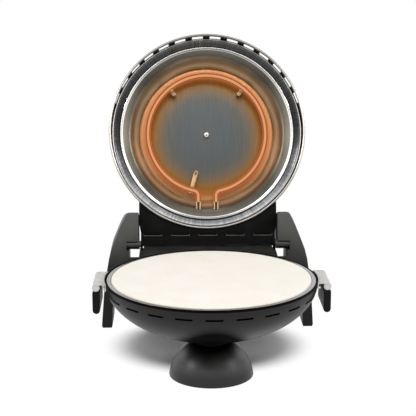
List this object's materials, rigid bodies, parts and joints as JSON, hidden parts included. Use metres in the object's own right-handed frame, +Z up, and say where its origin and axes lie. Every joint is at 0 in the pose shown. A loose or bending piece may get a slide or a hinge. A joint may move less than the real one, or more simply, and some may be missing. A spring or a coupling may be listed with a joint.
{
  "type": "electric pizza maker",
  "caption": "Countertop electric pizza oven with a slotted bowl on a round foot, a baking stone and a hinged heating lid held open by two side arms.",
  "frame": {"origin": "middle of the underside of the round foot pad, on the floor under the axis of the bowl", "axes": "+Z up, -Y towards the front where the open lid faces, +X to the right seen from the front"},
  "size_m": [0.373, 0.5516, 0.5079],
  "materials": {
    "satin_paint": "satin heat-proof paint, charcoal",
    "arm_plastic": "moulded, charcoal, fine texture",
    "black_paint": "matt black paint on sheet steel",
    "polished_steel": "polished stainless sheet",
    "brushed_steel": "brushed stainless",
    "plated_steel": "zinc plated",
    "hot_tube": "oxidised tube, glowing",
    "stone": "unglazed cordierite",
    "rubber": "soft black",
    "mineral_wool": "felted wool",
    "black_plastic": "fine texture",
    "ceramic": "unglazed",
    "lamp_lens": "clear red lens",
    "brass": "turned"
  },
  "bodies": {
    "base": {"bowl_shell": "satin_paint", "base_liner": "polished_steel", "base_insulation": "mineral_wool", "lower_element": "hot_tube", "lower_element_clips": "plated_steel", "lower_element_bushings": "plated_steel", "limit_thermostat": "plated_steel", "stone_tray": "polished_steel", "foot_dome": "satin_paint", "foot_pad": "rubber", "foot_bolt": "plated_steel", "neck_collar": "black_plastic", "rear_housing": "black_plastic", "rear_cover": "black_plastic", "rear_cover_screws": "plated_steel", "left_arm": "arm_plastic", "right_arm": "arm_plastic", "left_leg_pad": "rubber", "right_leg_pad": "rubber", "arm_bolts": "plated_steel", "left_hinge_pin": "plated_steel", "right_hinge_pin": "plated_steel", "hinge_spacers": "black_paint", "lid_stops": "rubber", "thermostat": "plated_steel", "terminal_block": "ceramic", "mains_inlet": "black_plastic", "pilot_lamp": "lamp_lens", "left_handle_bracket": "brushed_steel", "right_handle_bracket": "brushed_steel", "left_handle_pin": "plated_steel", "right_handle_pin": "plated_steel", "handle_rivets": "plated_steel"},
    "lid": {"lid_shell": "black_paint", "lid_trim_ring": "polished_steel", "lid_liner": "polished_steel", "lid_insulation": "mineral_wool", "upper_element": "hot_tube", "upper_element_bushings": "plated_steel", "element_clips": "plated_steel", "element_clip_screws": "plated_steel", "centre_nut": "plated_steel", "hinge_box": "black_paint", "hinge_box_cover": "black_paint", "hinge_box_screws": "plated_steel", "hinge_bushes": "brass", "lid_handle": "black_plastic", "lid_handle_posts": "plated_steel"},
    "stone": {"baking_stone": "stone"},
    "left_grip": {"left_handle_grip": "black_plastic"},
    "right_grip": {"right_handle_grip": "black_plastic"},
    "knob": {"thermostat_knob": "black_plastic"}
  },
  "joints": [
    {"name": "lid_hinge", "type": "hinge", "parent": "base", "child": "lid", "pos_m": [0, 0.195, 0.1595], "axis": [1, 0, 0], "range_deg": [0, 107]},
    {"name": "stone_lift", "type": "slide", "parent": "base", "child": "stone", "axis": [0, 0, 1], "range_m": [0, 0.015]},
    {"name": "left_grip_swing", "type": "hinge", "parent": "base", "child": "left_grip", "pos_m": [-0.1765, 0, 0.1521], "axis": [0, 1, 0], "range_deg": [0, 85]},
    {"name": "right_grip_swing", "type": "hinge", "parent": "base", "child": "right_grip", "pos_m": [0.1765, 0, 0.1521], "axis": [0, -1, 0], "range_deg": [0, 85]},
    {"name": "knob_turn", "type": "hinge", "parent": "base", "child": "knob", "pos_m": [0.06, 0.245, 0.1], "axis": [0, 1, 0], "range_deg": [0, 270]}
  ]
}
